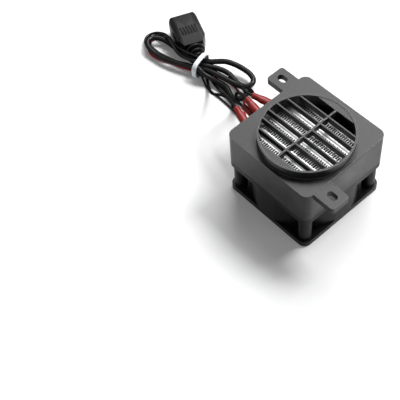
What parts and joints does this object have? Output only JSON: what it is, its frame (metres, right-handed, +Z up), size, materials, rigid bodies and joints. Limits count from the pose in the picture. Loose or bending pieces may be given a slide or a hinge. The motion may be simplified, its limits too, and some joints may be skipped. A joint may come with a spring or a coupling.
{
  "type": "ptc fan heater",
  "caption": "Compact square PTC fan heater: plastic housing with a round grilled outlet collar, two slotted ears, an axial fan below and a tied lead with an inlet connector.",
  "frame": {"origin": "centre of the fan frame's underside, which the heater stands on", "axes": "+Z up along the air flow, out of the collar; +X towards the side with the front ear, with the terminals on the -X side"},
  "size_m": [0.1958, 0.071, 0.052],
  "materials": {
    "housing_plastic": "fine matt moulding grain",
    "fan_plastic": "satin moulded",
    "impeller_plastic": "satin moulded",
    "plated_steel": "zinc plated",
    "laminated_iron": "stacked laminations",
    "magnet": "bonded ferrite",
    "bearing_brass": "sintered",
    "copper_wire": "enamelled copper",
    "ivory_plastic": "moulded",
    "circuit_board": "solder mask",
    "holder_plastic": "glass-filled, heat resistant",
    "bright_aluminium": "bright rolled",
    "amber_film": "polyimide film",
    "ptc_ceramic": "fired ceramic",
    "tinned_strip": "tinned",
    "red_sleeve": "satin",
    "tinned_brass": "tinned",
    "black_wire": "satin insulation",
    "red_wire": "satin insulation",
    "black_cable": "satin sheath",
    "white_tie": "smooth",
    "connector_pvc": "satin moulded",
    "nickel_pin": "nickel plated"
  },
  "bodies": {
    "heater": {"heater_housing": "housing_plastic", "fan_frame": "fan_plastic", "fan_bearing": "bearing_brass", "stator_core": "laminated_iron", "stator_insulator": "ivory_plastic", "stator_coils": "copper_wire", "fan_circuit_board": "circuit_board", "corner_screws": "plated_steel", "element_holder_left": "holder_plastic", "element_holder_right": "holder_plastic", "heating_tube_front": "bright_aluminium", "heating_tube_middle": "bright_aluminium", "heating_tube_rear": "bright_aluminium", "insulating_film_front": "amber_film", "insulating_film_middle": "amber_film", "insulating_film_rear": "amber_film", "ptc_stones_front": "ptc_ceramic", "ptc_stones_middle": "ptc_ceramic", "ptc_stones_rear": "ptc_ceramic", "live_electrode_front": "tinned_strip", "live_electrode_middle": "tinned_strip", "live_electrode_rear": "tinned_strip", "neutral_electrode_front": "tinned_strip", "neutral_electrode_middle": "tinned_strip", "neutral_electrode_rear": "tinned_strip", "fin_row_1": "bright_aluminium", "fin_row_2": "bright_aluminium", "fin_row_3": "bright_aluminium", "fin_row_4": "bright_aluminium", "fin_row_5": "bright_aluminium", "fin_row_6": "bright_aluminium", "live_bus": "tinned_strip", "neutral_bus": "tinned_strip", "crimp_sleeve_a": "red_sleeve", "crimp_sleeve_b": "red_sleeve", "crimp_sleeve_c": "red_sleeve", "crimp_sleeve_d": "red_sleeve", "crimp_contact_a": "tinned_brass", "crimp_contact_b": "tinned_brass", "crimp_contact_c": "tinned_brass", "crimp_contact_d": "tinned_brass", "supply_wire_a": "black_wire", "supply_wire_b": "black_wire", "supply_wire_c": "black_wire", "supply_wire_d": "black_wire", "fan_wire_black": "black_wire", "fan_wire_red": "red_wire", "lead_hank": "black_cable", "lead_tie": "white_tie", "inlet_connector": "connector_pvc", "inlet_pins": "nickel_pin"},
    "rotor": {"fan_impeller": "impeller_plastic", "rotor_yoke": "plated_steel", "rotor_magnet": "magnet", "fan_shaft": "plated_steel", "shaft_clip": "plated_steel"}
  },
  "joints": [
    {"name": "fan_spin", "type": "hinge", "parent": "heater", "child": "rotor", "pos_m": [0, 0, 0.012], "axis": [0, 0, 1], "continuous": true}
  ]
}
